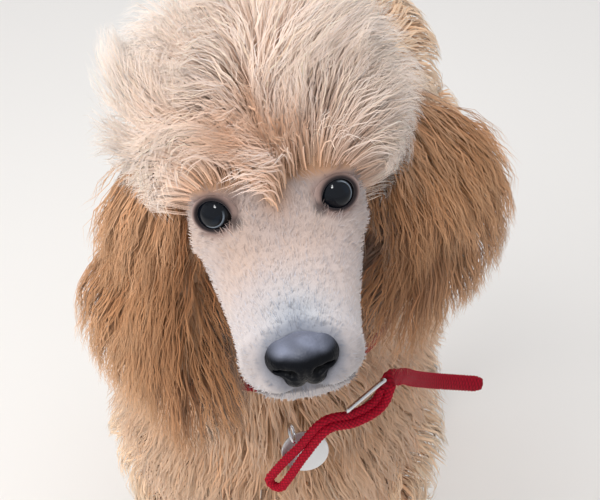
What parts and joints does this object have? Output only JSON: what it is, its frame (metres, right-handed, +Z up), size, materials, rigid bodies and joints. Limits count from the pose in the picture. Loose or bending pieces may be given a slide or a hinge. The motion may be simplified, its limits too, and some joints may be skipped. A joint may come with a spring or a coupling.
{
  "type": "standard poodle",
  "caption": "Still life-size model of a young standing standard poodle in a puppy clip, head raised, with a braided collar and blank tag.",
  "frame": {"origin": "on the floor, under the centre of the model's bounding box", "axes": "+Z up, -Y ahead towards the nose, +X towards the dog's left side"},
  "size_m": [0.293, 0.8617, 0.8324],
  "materials": {
    "coat": "soft curly apricot hair",
    "ear_coat": "long wavy darker apricot hair",
    "face": "short clipped cream hair",
    "nose": "moist pebbled black leather",
    "eye": "wet dark gloss",
    "claw": "smooth horn",
    "braid": "red braided cord",
    "steel": "polished plated steel"
  },
  "bodies": {
    "root": {"head": "face", "nose": "nose", "eye_left": "eye", "eye_right": "eye", "ear_left": "ear_coat", "ear_right": "ear_coat", "neck": "coat", "torso": "coat", "tail": "coat", "foreleg_left": "coat", "foreleg_right": "coat", "thigh_left": "coat", "thigh_right": "coat", "hock_left": "coat", "hock_right": "coat", "forefoot_left": "face", "forefoot_right": "face", "hindfoot_left": "face", "hindfoot_right": "face", "claw_forefoot_left_1": "claw", "claw_forefoot_left_2": "claw", "claw_forefoot_left_3": "claw", "claw_forefoot_left_4": "claw", "claw_forefoot_right_1": "claw", "claw_forefoot_right_2": "claw", "claw_forefoot_right_3": "claw", "claw_forefoot_right_4": "claw", "claw_hindfoot_left_1": "claw", "claw_hindfoot_left_2": "claw", "claw_hindfoot_left_3": "claw", "claw_hindfoot_left_4": "claw", "claw_hindfoot_right_1": "claw", "claw_hindfoot_right_2": "claw", "claw_hindfoot_right_3": "claw", "claw_hindfoot_right_4": "claw", "collar_band": "braid", "collar_strap": "braid", "collar_slide": "steel", "tag_ring": "steel", "tag": "steel"}
  },
  "joints": []
}
